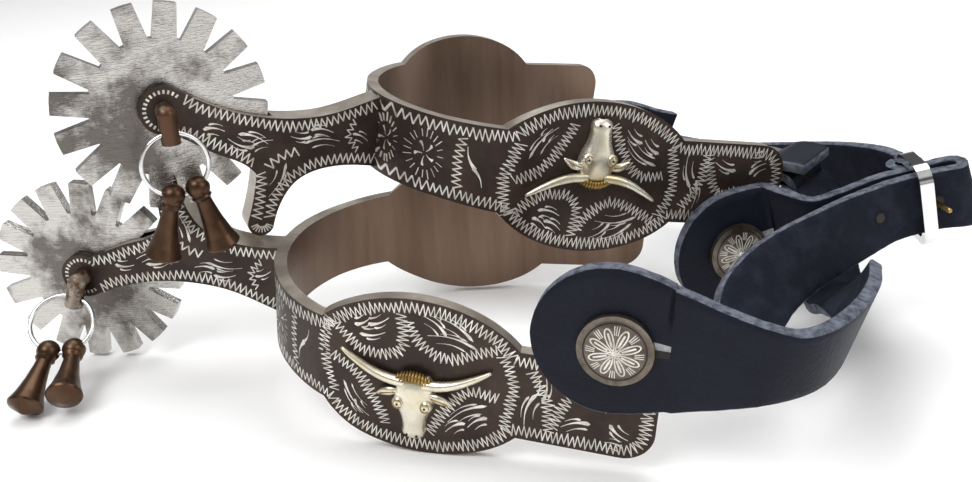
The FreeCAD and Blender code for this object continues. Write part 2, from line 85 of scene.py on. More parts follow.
# Place of each spur before the pair was centred, and the side of it that faces the front.
PLACES = {"lower": (Matrix.Translation((0, 0, 23.9)) @ turn(-7.8, 5.9, 0.9), -1),
          "upper": (Matrix.Translation((24.6, 16.1, 56.9)) @ turn(22.6, 10.7, 1.6) @ turn(0, 0, 180), 1)}
joints = {j["name"]: j for j in frame["joints"]}
hub_now = Vector(joints["lower_rowel_turn"]["pos_m"]) / MM
SHIFT = hub_now - PLACES["lower"][0] @ HUB


def row(point):
    """A point of the unshifted pair, in mm, in the row frame, in metres."""
    return (Vector(point) + SHIFT) * MM


# ---- materials

def material(name, color, metallic, rough, other, scale, stretch=(1, 1, 1), bump=0.0, bump_scale=400.0,
             low=0.4, high=0.65, scratch=0.0, level=0.5):
    """Surface whose colour and gloss wander between two tones, with a fine bump."""
    mat = bpy.data.materials.new(name)
    mat.use_nodes = True
    nodes, links = mat.node_tree.nodes, mat.node_tree.links
    shader = nodes["Principled BSDF"]
    shader.inputs["Metallic"].default_value = metallic
    shader.inputs["Specular IOR Level"].default_value = level
    place = nodes.new("ShaderNodeTexCoord")
    mapping = nodes.new("ShaderNodeMapping")
    mapping.inputs["Scale"].default_value = stretch
    links.new(place.outputs["Object"], mapping.inputs["Vector"])
    cloud = nodes.new("ShaderNodeTexNoise")
    cloud.inputs["Scale"].default_value = scale
    cloud.inputs["Detail"].default_value = 8
    cloud.inputs["Roughness"].default_value = 0.65
    links.new(mapping.outputs["Vector"], cloud.inputs["Vector"])
    ramp = nodes.new("ShaderNodeValToRGB")
    ramp.color_ramp.elements[0].position = low
    ramp.color_ramp.elements[1].position = high
    ramp.color_ramp.elements[0].color = (*color, 1)
    ramp.color_ramp.elements[1].color = (*other, 1)
    links.new(cloud.outputs["Fac"], ramp.inputs["Fac"])
    links.new(ramp.outputs["Color"], shader.inputs["Base Color"])
    gloss = nodes.new("ShaderNodeMapRange")
    gloss.inputs["To Min"].default_value = max(rough - 0.1, 0.02)
    gloss.inputs["To Max"].default_value = min(rough + 0.12, 1)
    links.new(cloud.outputs["Fac"], gloss.inputs["Value"])
    links.new(gloss.outputs["Result"], shader.inputs["Roughness"])
    if bump:
        grain = nodes.new("ShaderNodeTexNoise")
        grain.inputs["Scale"].default_value = bump_scale
        grain.inputs["Detail"].default_value = 5
        links.new(mapping.outputs["Vector"], grain.inputs["Vector"])
        height = grain.outputs["Fac"]
        if scratch:
            lines = nodes.new("ShaderNodeTexNoise")
            lines.inputs["Scale"].default_value = 60
            lines.inputs["Distortion"].default_value = 0.6
            long = nodes.new("ShaderNodeMapping")
            long.inputs["Scale"].default_value = (3, 20, 60)
            long.inputs["Rotation"].default_value = (0.2, 0.7, 0.1)
            links.new(place.outputs["Object"], long.inputs["Vector"])
            links.new(long.outputs["Vector"], lines.inputs["Vector"])
            both = nodes.new("ShaderNodeMath")
            both.operation = "MULTIPLY_ADD"
            both.inputs[1].default_value = scratch
            links.new(lines.outputs["Fac"], both.inputs[0])
            links.new(height, both.inputs[2])
            height = both.outputs["Value"]
        bumps = nodes.new("ShaderNodeBump")
        bumps.inputs["Strength"].default_value = bump
        bumps.inputs["Distance"].default_value = 0.0003
        links.new(height, bumps.inputs["Height"])
        links.new(bumps.outputs["Normal"], shader.inputs["Normal"])
    return mat


DARK = material("antique_steel", (0.030, 0.020, 0.016), 0.6, 0.42, (0.062, 0.038, 0.028), 90, bump=0.25)
BRIGHT = material("engraved_cut", (0.84, 0.81, 0.75), 0.5, 0.36, (0.46, 0.42, 0.36), 420, bump=0.1)
EDGE = material("bare_steel", (0.36, 0.31, 0.26), 0.85, 0.36, (0.52, 0.48, 0.42), 120, bump=0.2)
INSIDE = material("inner_bronze", (0.15, 0.095, 0.066), 0.75, 0.38, (0.24, 0.165, 0.12), 60, (1, 1, 0.08),
                  0.2, 500)
STEEL = material("rowel_steel", (0.58, 0.56, 0.53), 0.95, 0.24, (0.16, 0.145, 0.13), 55, bump=0.35, low=0.47,
                 high=0.6, scratch=1.2)
PIN = material("browned_pin", (0.10, 0.05, 0.028), 0.7, 0.38, (0.36, 0.31, 0.25), 170, bump=0.4, low=0.52,
               high=0.62)
BOB = material("browned_bob", (0.062, 0.031, 0.017), 0.85, 0.32, (0.115, 0.066, 0.040), 60, bump=0.12)
WIRE = material("ring_wire", (0.78, 0.78, 0.77), 1.0, 0.18, (0.6, 0.6, 0.58), 200, bump=0.1)
SILVER = material("german_silver", (0.80, 0.76, 0.64), 0.85, 0.28, (0.62, 0.53, 0.34), 120, bump=0.12)
GOLD = material("golden_recess", (0.42, 0.27, 0.08), 0.85, 0.36, (0.22, 0.14, 0.05), 200, bump=0.2)
BUTTON = material("button_silver", (0.20, 0.17, 0.14), 0.85, 0.33, (0.07, 0.052, 0.04), 150, bump=0.25)
# Near-black fill: the longhorn's eyes and nostrils and the button's ring groove; on the straps it is painted
# shadow standing for the opening of the slit and of the punched holes.
GROOVE_AND_GAP_SHADE = material("dark_groove_and_painted_gap_shade", (0.012, 0.009, 0.007), 0.3, 0.6, (0.035, 0.028, 0.022), 200, bump=0.2)
CHROME = material("buckle_chrome", (0.84, 0.84, 0.84), 1.0, 0.1, (0.66, 0.66, 0.66), 90, bump=0.05)
# Golden tone of the buckle prong, brass in part and in part a painted reflection standing for a gold glint in
# the chrome.
BRASS_AND_GLINT = material("prong_brass", (0.60, 0.41, 0.13), 1.0, 0.25, (0.42, 0.28, 0.09), 150, bump=0.1)
GRAIN = material("leather_grain", (0.0022, 0.0034, 0.010), 0.0, 0.52, (0.005, 0.0072, 0.018), 60, bump=0.6,
                 bump_scale=900, level=0.22)
FLESH = material("leather_flesh", (0.007, 0.0095, 0.018), 0.0, 0.85, (0.024, 0.028, 0.044), 190, bump=0.7,
                 bump_scale=1400, low=0.45, high=0.8, level=0.2)
FUZZ = material("leather_edge", (0.15, 0.165, 0.20), 0.0, 0.9, (0.035, 0.042, 0.062), 500, bump=0.9,
                bump_scale=1800, level=0.2)
# Pale strip along one lip of a strap's slit: a painted highlight where the raised lip catches the light.
SLIT_LIP_HIGHLIGHT = material("slit_lip_painted_highlight", (0.42, 0.42, 0.43), 0.0, 0.9, (0.22, 0.23, 0.26), 500, bump=0.8,
                bump_scale=1600)
PAPER = material("floor_paper", (0.95, 0.95, 0.95), 0.0, 0.9, (0.94, 0.94, 0.94), 2)


# ---- building pieces

def piece(name, verts, faces, mats, body, indices=None, smooth=True):
    mesh = bpy.data.meshes.new(name)
    mesh.from_pydata([tuple(v) for v in verts], [], faces)
    for mat in mats:
        mesh.materials.append(mat)
    if indices:
        for polygon, index in zip(mesh.polygons, indices):
            polygon.material_index = index
    if smooth:
        for polygon in mesh.polygons:
            polygon.use_smooth = True
    mesh.update()
    obj = bpy.data.objects.new(name, mesh)
    bpy.context.scene.collection.objects.link(obj)
    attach(obj, body)
    return obj


class Shape:
    """Vertices and faces gathered for one piece."""

    def __init__(self):
        self.verts = []
        self.faces = []
        self.indices = []

    def add(self, verts, faces, index=0):
        base = len(self.verts)
        self.verts += list(verts)
        self.faces += [tuple(base + i for i in f) for f in faces]
        self.indices += [index] * len(faces)

    def tube(self, points, radii, index=0, flat=1.0, up=Vector((0, 0, 1)), sides=14):
        """Closed tube through points, its section flattened along up."""
        rings = []
        for i, point in enumerate(points):
            ahead = (points[min(i + 1, len(points) - 1)] - points[max(i - 1, 0)]).normalized()
            side = ahead.cross(up).normalized()
            top = side.cross(ahead)
            rings.append([point + (side * math.cos(a) + top * (math.sin(a) * flat)) * radii[i]
                          for a in (2 * math.pi * k / sides for k in range(sides))])
        faces = []
        for i in range(len(rings) - 1):
            for k in range(sides):
                nxt = (k + 1) % sides
                faces.append((i * sides + k, i * sides + nxt, (i + 1) * sides + nxt, (i + 1) * sides + k))
        faces.append(tuple(reversed(range(sides))))
        faces.append(tuple((len(rings) - 1) * sides + k for k in range(sides)))
        self.add([v for ring in rings for v in ring], faces, index)

    def ball(self, centre, size, axes, index=0):
        """Ellipsoid with its own three axes."""
        rows, sides = 8, 14
        verts = []
        for i in range(rows + 1):
            lat = math.pi * i / rows
            for k in range(sides):
                lon = 2 * math.pi * k / sides
                local = (math.sin(lat) * math.cos(lon), math.sin(lat) * math.sin(lon), math.cos(lat))
                verts.append(centre + sum((axes[a] * (local[a] * size[a]) for a in range(3)), Vector()))
        faces = [(i * sides + k, i * sides + (k + 1) % sides, (i + 1) * sides + (k + 1) % sides,
                  (i + 1) * sides + k) for i in range(rows) for k in range(sides)]
        self.add(verts, faces, index)


def smooth_line(points, step):
    """Points along a Catmull-Rom curve, about step apart; points are tuples of any length."""
    result = []
    count = len(points)
    for i in range(count - 1):
        p0, p1 = points[max(i - 1, 0)], points[i]
        p2, p3 = points[i + 1], points[min(i + 2, count - 1)]
        length = math.dist(p1[:3], p2[:3])
        parts = max(1, round(length / step))
        for k in range(parts):
            t = k / parts
            result.append(tuple(
                0.5 * (2 * b + (c - a) * t + (2 * a - 5 * b + 4 * c - d) * t * t
                       + (3 * b - a - 3 * c + d) * t ** 3)
                for a, b, c, d in zip(p0, p1, p2, p3)))
    result.append(tuple(points[-1]))
    return result


# ---- the band's outer surface

def plan_table():
    """Line of the outer face from the heel's middle to the end of one side: distance, x, y, out x, out y."""
    table = []
    reach = BACK_RADIUS - SIDE_RADIUS
    centre = Vector((BACK_RADIUS - reach * math.cos(BACK_ANGLE), reach * math.sin(BACK_ANGLE)))
    steps = 80
    for i in range(steps):
        a = BACK_ANGLE * i / steps
        table.append((BACK_RADIUS * a, BACK_RADIUS * (1 - math.cos(a)), BACK_RADIUS * math.sin(a),
                      -math.cos(a), math.sin(a)))
    length = BACK_RADIUS * BACK_ANGLE
    last = math.pi / 2 - SPLAY
    for i in range(steps):
        a = BACK_ANGLE + (last - BACK_ANGLE) * i / steps
        out = Vector((-math.cos(a), math.sin(a)))
        p = centre + out * SIDE_RADIUS
        table.append((length + SIDE_RADIUS * (a - BACK_ANGLE), p.x, p.y, out.x, out.y))
    length += SIDE_RADIUS * (last - BACK_ANGLE)
    out = Vector((-math.sin(SPLAY), math.cos(SPLAY)))
    p = centre + out * SIDE_RADIUS
    for i in range(steps + 1):
        reach = 78.0 * i / steps
        q = p + Vector((math.cos(SPLAY), math.sin(SPLAY))) * reach
        table.append((length + reach, q.x, q.y, out.x, out.y))
    return table


PLAN = plan_table()


def on_band(side, x, z, lift):
    """Point on the outer face above plan position x; a negative x runs on round the heel."""
    if x < 0:
        side, x = -side, -x
    i = 0
    while i < len(PLAN) - 2 and PLAN[i + 1][1] < x:
        i += 1
    a, b = PLAN[i], PLAN[i + 1]
    t = min(max((x - a[1]) / (b[1] - a[1]), 0), 1.2)
    px, py, ox, oy = (a[k] + (b[k] - a[k]) * t for k in range(1, 5))
    return Vector((px + ox * lift, side * (py + oy * lift), z))


def at_distance(distance):
    """Plan x of a point that far round the outer face from the heel's middle."""
    i = 0
    while i < len(PLAN) - 2 and PLAN[i + 1][0] < distance:
        i += 1
    a, b = PLAN[i], PLAN[i + 1]
    return a[1] + (b[1] - a[1]) * (distance - a[0]) / (b[0] - a[0])


# ---- engraving

def zigzag(path, pitch, height, jitter=0.12):
    """Zigzag between the two sides of a path in the plane."""
    dense = smooth_line([(*p, 0) for p in path], 0.25)
    lengths = [0.0]
    for a, b in zip(dense, dense[1:]):
        lengths.append(lengths[-1] + math.dist(a, b))
    count = max(2, int(lengths[-1] / (pitch / 2)))
    points = []
    j = 0
    for i in range(count + 1):
        want = lengths[-1] * i / count
        while j < len(lengths) - 2 and lengths[j + 1] < want:
            j += 1
        a, b = dense[j], dense[j + 1]
        dx, dy = b[0] - a[0], b[1] - a[1]
        size = math.hypot(dx, dy) or 1
        t = (want - lengths[j]) / (lengths[j + 1] - lengths[j] or 1)
        swing = (0.5 if i % 2 else -0.5) * height * (1 + dice.uniform(-jitter, jitter))
        points.append((a[0] + dx * t - dy / size * swing + dice.uniform(-jitter, jitter) * pitch * 0.4,
                       a[1] + dy * t + dx / size * swing))
    return points


def stroke(points, width, taper=0.0):
    """Quads of a flat cut along points in the plane, thinner towards its end by taper."""
    quads = []
    last = len(points) - 1
    for i in range(last):
        (ax, ay), (bx, by) = points[i], points[i + 1]
        dx, dy = bx - ax, by - ay
        size = math.hypot(dx, dy)
        if size < 1e-6:
            continue
        wide = width / 2 * (1 - taper * i / last)
        thin = width / 2 * (1 - taper * (i + 1) / last)
        nx, ny = -dy / size, dx / size
        ex, ey = dx / size * wide * 0.4, dy / size * wide * 0.4
        quads.append([(ax - ex + nx * wide, ay - ey + ny * wide), (ax - ex - nx * wide, ay - ey - ny * wide),
                      (bx + ex - nx * thin, by + ey - ny * thin), (bx + ex + nx * thin, by + ey + ny * thin)])
    return quads


def flick(tail, head, width):
    """Leaf-shaped cut, from a hair line at its tail to a full round head, slightly bent."""
    (ax, ay), (bx, by) = tail, head
    dx, dy = bx - ax, by - ay
    size = math.hypot(dx, dy)
    nx, ny = -dy / size, dx / size
    bend = size * 0.1
    left, right = [], []
    for i in range(11):
        t = i / 10
        round_off = math.sqrt(max(0.0, 1 - ((t - 0.86) / 0.14) ** 2)) if t > 0.86 else 1
        wide = width / 2 * (0.12 + 0.88 * t ** 2.2) * round_off
        shift = bend * math.sin(math.pi * t)
        cx, cy = ax + dx * t + nx * shift, ay + dy * t + ny * shift
        left.append((cx + nx * wide, cy + ny * wide))
        right.append((cx - nx * wide, cy - ny * wide))
    return [[left[i], right[i], right[i + 1], left[i + 1]] for i in range(10)]


def flick_group(tail, head, width):
    """A leaf cut with a shorter, finer one on each side of it."""
    (ax, ay), (bx, by) = tail, head
    size = math.hypot(bx - ax, by - ay)
    nx, ny = (ay - by) / size, (bx - ax) / size
    quads = flick(tail, head, width)
    for off in (-1.25, 1.25):
        start, stop = dice.uniform(0.12, 0.3), dice.uniform(0.72, 0.86)
        quads += flick((ax + (bx - ax) * start + nx * off, ay + (by - ay) * start + ny * off),
                       (ax + (bx - ax) * stop + nx * off, ay + (by - ay) * stop + ny * off), width * 0.6)
    return quads


def lobe_border(inset):
    """The top edge of a side, from the heel to the tab's end, inset mm inside; mirrored for the bottom."""
    points = []
    for i in range(0, 12):
        x = i * 1.45
        points.append((x, (BACK_HALF if x < 9 else BACK_HALF + (x - 9) / 17 * 0.8) - inset))
    for i in range(0, 21):
        a = math.radians(148 - i * 5.95)
        x, z = LOBE_X + (LOBE_LONG - inset) * math.cos(a), (LOBE_HALF - inset) * math.sin(a)
        if x > points[-1][0] + 0.6:
            points.append((x, max(z, BAND_HALF - inset)))
    points.append((71, BAND_HALF - inset))
    points.append((78, BAND_HALF - inset))
    points.append((TAB_END - TAB_CORNER, BAND_HALF - inset))
    points.append((TAB_END - TAB_CORNER + 3.6, BAND_HALF - inset - 1.2))
    points.append((TAB_END - inset, BAND_HALF - TAB_CORNER))
    points.append((TAB_END - inset, 0))
    return points


LOBE_SCALLOPS = [
    [(24, 10), (29, 5.4), (35.2, 4.4), (39.2, 7.6), (38.8, 15.0)],
    [(40.2, 13.6), (42.4, 9.4), (48.2, 5.9), (56.2, 8.6), (60.2, 10.6)],
    [(22.8, 1.8), (28.5, -1.3), (33.2, -7.6), (35.6, -13.2)],
    [(45.6, -13.4), (48.9, -7.0), (54.0, -1.2), (60.6, -1.6)],
    [(61.0, 9.0), (63.6, 2.5), (62.0, -8.8)], [(22.4, 10.6), (20.8, 2.0), (23.4, -7.4)]]
LOBE_FLICKS = [
    ((32.0, 13.0), (28.3, 10.6), 1.3), ((36.0, 13.6), (31.3, 11.2), 1.3), ((35.2, 9.9), (29.4, 8.6), 1.2),
    ((43.6, 15.4), (48.8, 11.4), 1.1), ((45.8, 15.8), (54.6, 11.2), 1.0), ((44.6, 10.9), (55.6, 9.4), 0.9),
    ((31.6, -12.0), (25.6, -3.9), 0.8), ((30.2, -11.6), (28.2, -8.2), 1.0),
    ((49.6, -9.8), (58.2, -3.8), 1.0), ((49.2, -12.4), (53.6, -9.2), 1.2), ((54.1, -10.2), (58.4, -6.8), 1.3)]
TAB_FLICKS = [
    ((66.4, -7.0), (68.6, 1.5), 1.2), ((70.0, 6.8), (69.8, -0.6), 1.0), ((74.2, -5.6), (80.4, -3.6), 1.4),
    ((88.4, -6.0), (84.2, -2.8), 1.3), ((83.6, -7.4), (87.6, -8.0), 0.9)]
TAB_SCALLOPS = [[(67.0, 6.4), (70.6, 1.0), (71.8, -7.6)],
                [(72.4, -6.2), (76.0, 2.4), (83.0, 1.4), (90.4, 2.6)]]


def side_engraving():
    """Every cut on one side of a band, as flat quads in plan x and height."""
    quads = []
    top = lobe_border(2.1)
    for way in (1, -1):
        quads += stroke(zigzag([(x, z * way) for x, z in top], 1.15, 2.6, 0.25), BAND_CUT)
    for path in LOBE_SCALLOPS + TAB_SCALLOPS:
        quads += stroke(zigzag(path, 1.1, 2.5, 0.25), BAND_CUT)
    for tail, head, width in LOBE_FLICKS + TAB_FLICKS:
        quads += flick_group(tail, head, width)
    # medallions round the heel: a ring of rays about a group of leaves
    for distance in (9.0, 24.0):
        middle = at_distance(distance)
        scale = (at_distance(distance + 1) - at_distance(distance - 1)) / 2
        for k in range(20):
            a = 2 * math.pi * k / 20 + dice.uniform(-0.06, 0.06)
            near, far = 4.2, 6.2 + dice.uniform(-0.3, 0.4)
            quads += stroke([(middle + math.cos(a) * near * scale, math.sin(a) * near),
                             (middle + math.cos(a) * far * scale, math.sin(a) * far)], 0.3 * max(scale, 0.5))
        for k in range(5):
            a = 2 * math.pi * k / 5 + 0.4
            leaf = flick((middle + math.cos(a) * 0.7, math.sin(a) * 0.7),
                         (middle + math.cos(a) * 3.3, math.sin(a) * 3.3), 1.2)
            quads += [[(middle + (x - middle) * scale, z) for x, z in q] for q in leaf]
    middle = at_distance(38.0)
    quads += flick((middle - 1.6, -4.4), (middle + 0.4, 1.0), 1.1)
    quads += flick((middle + 1.8, 4.8), (middle - 0.4, 0.4), 1.0)
    quads += stroke(zigzag([(middle - 2.6, 6.4), (middle - 3.2, 0), (middle - 2.6, -6.4)], 1.5, 1.6), 0.3)
    return quads


UNDER = [(-48.0, -7.2), (-44.6, -5.0), (-38.0, -3.2), (-30.0, -1.5), (-23.0, -0.9), (-14.0, -2.1),
         (-6.0, -4.9), (-0.8, -6.9)]
OVER = [(-49.6, 0.6), (-45.6, 1.5), (-40.0, 4.1), (-34.6, 6.4), (-31.0, 8.6)]
GUARD_BACK = [(-29.3, 11.0), (-28.9, 15.5), (-29.6, 23.2)]
GUARD_FRONT = [(-26.2, 23.0), (-25.5, 18.6), (-22.0, 12.4), (-14.0, 7.9), (-6.0, 7.0), (0.0, 7.1)]
SHANK_FLICKS = [
    ((-38.4, 0.6), (-43.6, 0.2), 1.3), ((-27.8, 3.6), (-35.2, 1.2), 1.2), ((-37.6, 2.4), (-31.0, 4.6), 1.3),
    ((-26.6, 2.6), (-32.4, 4.9), 0.9), ((-9.6, 2.6), (-18.8, 3.4), 0.9), ((-22.2, 1.6), (-16.8, 1.6), 1.2),
    ((-11.4, 0.4), (-17.4, -0.2), 1.2), ((-26.9, 17.4), (-22.9, 8.4), 1.0), ((-2.2, 2.4), (-6.4, 0.6), 1.0)]


def shank_engraving():
    quads = []
    for path in (UNDER, OVER, GUARD_BACK, GUARD_FRONT):
        quads += stroke(zigzag(path, 1.5, 2.5, 0.2), SHANK_CUT)
    quads += stroke(zigzag([(-27.6, 9.6), (-24.0, 6.6), (-20.0, 5.4)], 1.9, 2.2), 0.38)
    quads += stroke(zigzag([(-4.6, 5.0), (-7.4, 1.2), (-5.8, -2.8)], 1.5, 1.6), 0.3)
    for tail, head, width in SHANK_FLICKS:
        quads += flick_group(tail, head, width)
    for k in range(9):
        a = math.radians(20 + 17 * k)
        quads += stroke([(-28.1 + 1.2 * math.cos(a), 24.3 + 1.0 * math.sin(a)),
                         (-28.1 + 2.9 * math.cos(a), 24.3 + 2.6 * math.sin(a))], 0.32)
    for k in range(20):
        a = math.radians(50 + 13.5 * k)
        near, far = 4.2, 4.9
        quads += stroke([(HUB.x + near * math.cos(a), HUB.z + near * math.sin(a)),
                         (HUB.x + far * math.cos(a), HUB.z + far * math.sin(a))], 0.5)
    return quads


def engrave(spur):
    place = PLACES[spur][0]
    shape = Shape()
    for side in (-1, 1):
        for quad in side_engraving():
            verts = [row(place @ on_band(side, x, z, CUT_LIFT)) for x, z in quad]
            shape.add(verts, [(0, 1, 2, 3)] if side < 0 else [(3, 2, 1, 0)])
    piece(spur + "_band_engraving", shape.verts, shape.faces, [BRIGHT], spur + "_spur",
          smooth=False)
    shape = Shape()
    for side in (-1, 1):
        for quad in shank_engraving():
            verts = [row(place @ Vector((x, side * (SHANK_SIDE + CUT_LIFT), z))) for x, z in quad]
            shape.add(verts, [(0, 1, 2, 3)] if side < 0 else [(3, 2, 1, 0)])
    piece(spur + "_shank_engraving", shape.verts, shape.faces, [BRIGHT], spur + "_spur",
          smooth=False)


# ---- ornament and button

def plate_axes(spur, side, x, z):
    """Origin, along, up and out of the outer face at x, z, in the row frame, unit lengths one mm."""
    place = PLACES[spur][0]
    origin = row(place @ on_band(side, x, z, 0))
    spin = place.to_3x3()
    along = spin @ Vector((math.cos(SPLAY), side * math.sin(SPLAY), 0)) * MM
    up = spin @ Vector((0, 0, 1)) * MM
    out = spin @ Vector((-math.sin(SPLAY), side * math.cos(SPLAY), 0)) * MM
    return origin, along, up, out


# Skull of the longhorn, from its crown to its muzzle: height on the plate, half width, depth.
HEAD = [(1.2, 3.0, 1.2), (0.2, 3.8, 2.2), (-1.6, 4.3, 2.9), (-4.0, 4.7, 3.3), (-6.2, 4.3, 3.3),
        (-9.0, 3.1, 3.0), (-11.6, 2.6, 2.7), (-13.2, 2.75, 2.5), (-14.3, 2.3, 1.9), (-14.9, 1.2, 1.0)]
# A horn and an ear: across, height on the plate, height above it, radius.
HORN = [(2.0, -0.6, 1.5, 1.2), (6.0, -0.2, 1.5, 1.15), (9.6, 0.9, 1.4, 0.98), (13.0, 2.6, 1.2, 0.78),
        (15.4, 4.0, 1.0, 0.55), (16.8, 4.9, 0.8, 0.34)]
EAR = [(3.4, -3.0, 1.6, 0.5), (5.2, -3.3, 1.7, 1.05), (6.9, -3.9, 1.5, 0.9), (8.6, -4.9, 1.1, 0.2)]


def longhorn(spur, side, word):
    origin, along, up, out = plate_axes(spur, side, LOBE_X - 0.4, 0)

    def at(x, y, h):
        return origin + along * x + up * y + out * h

    shape = Shape()
    half = 12
    verts = []
    for y, wide, deep in smooth_line(HEAD, 0.6):
        for k in range(half + 1):
            a = math.pi * k / half
            rise = max(deep, 0.2) * math.sin(a) ** 0.75 if 0 < k < half else 0
            verts.append(at(wide * math.cos(a), y, rise))
    rows = len(verts) // (half + 1)
    faces = []
    for i in range(rows - 1):
        for k in range(half):
            a = i * (half + 1) + k
            faces.append((a, a + 1, a + half + 2, a + half + 1))
    faces.append(tuple(range(half + 1)))
    faces.append(tuple((rows - 1) * (half + 1) + k for k in reversed(range(half + 1))))
    shape.add(verts, faces)
    axes = [v / MM for v in (along, up, out)]
    for hand in (-1, 1):
        line = smooth_line(HORN, 0.7)
        shape.tube([at(hand * x, y, h) for x, y, h, r in line], [r * MM for *_, r in line], up=axes[2])
        ear = smooth_line(EAR, 0.5)
        shape.tube([at(hand * x, y, h) for x, y, h, r in ear], [r * MM for *_, r in ear], flat=0.6,
                   up=axes[2])
        inner = [at(hand * x, y - 0.1, h + 0.62) for x, y, h, r in ear[2:-2]]
        shape.tube(inner, [0.14 * MM] * len(inner), 1, up=axes[2], sides=8)
        shape.ball(at(hand * 3.1, -5.3, 2.35), (1.5 * MM, 1.6 * MM, 1.2 * MM), axes)
        circle = [at(hand * 3.1 + 0.95 * math.cos(a), -5.3 + 1.05 * math.sin(a), 3.32) for a in
                  (2 * math.pi * k / 18 for k in range(17))]
        shape.tube(circle, [0.13 * MM] * 17, 1, up=axes[2], sides=8)
        shape.ball(at(hand * 3.1, -5.3, 3.42), (0.32 * MM, 0.32 * MM, 0.25 * MM), axes, 2)
        shape.ball(at(hand * 1.15, -13.5, 2.3), (0.34 * MM, 0.3 * MM, 0.25 * MM), axes, 2)
    for k in range(13):
        t = (k - 6) / 6
        x, y = 4.3 * t, 1.5 - 1.5 * t * t
        curl = [at(x - 0.15 * t, y + 0.9, 1.3), at(x, y, 2.3 - 0.5 * t * t),
                at(x + 0.1 * t, y - 1.3, 2.75 - 0.7 * t * t)]
        shape.tube(curl, [0.26 * MM, 0.42 * MM, 0.24 * MM], 1, up=axes[2], sides=8)
    name = spur + "_longhorn_" + word
    obj = piece(name + "_cast", shape.verts, shape.faces, [SILVER, GOLD, GROOVE_AND_GAP_SHADE], spur + "_spur",
                shape.indices)
    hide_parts(name)


def button_flower(spur, side, word):
    origin, along, up, out = plate_axes(spur, side, BUTTON_X, BUTTON_Z)

    def at(x, y, lift):
        h = BUTTON_TOP - (DOME_RADIUS - math.sqrt(DOME_RADIUS ** 2 - x * x - y * y)) + lift
        return origin + along * x + up * y + out * h

    shape = Shape()
    for k in range(8):
        a = math.pi * (k + 0.5) / 4
        petal = []
        for i in range(17):
            t = 2 * math.pi * i / 16
            r = 3.1 - 2.3 * math.cos(t)
            w = 0.95 * math.sin(t) * (0.45 + 0.55 * (r / 5.4))
            petal.append((r * math.cos(a) - w * math.sin(a), r * math.sin(a) + w * math.cos(a)))
        for quad in stroke(petal, 0.3) + stroke([(1.6 * math.cos(a), 1.6 * math.sin(a)),
                                                 (4.4 * math.cos(a), 4.4 * math.sin(a))], 0.42):
            shape.add([at(x, y, 0.05) for x, y in quad], [(0, 1, 2, 3)], 0)
        b = a + math.pi / 8
        for off in (-0.09, 0.0, 0.09):
            for quad in stroke([(4.0 * math.cos(b + off), 4.0 * math.sin(b + off)),
                                (5.8 * math.cos(b + off), 5.8 * math.sin(b + off))], 0.2):
                shape.add([at(x, y, 0.05) for x, y in quad], [(0, 1, 2, 3)], 0)
    ring = [(6.35 * math.cos(math.pi * k / 24), 6.35 * math.sin(math.pi * k / 24)) for k in range(49)]
    for quad in stroke(ring, 0.34):
        shape.add([at(x, y, 0.04) for x, y in quad], [(0, 1, 2, 3)], 1)
    axes = [v / MM for v in (along, up, out)]
    shape.ball(at(0, 0, 0.05), (0.75 * MM, 0.75 * MM, 0.3 * MM), axes, 0)
    piece(f"{spur}_button_flower_{word}", shape.verts, shape.faces, [BRIGHT, GROOVE_AND_GAP_SHADE], spur + "_spur",
          shape.indices, smooth=False)


# ---- straps

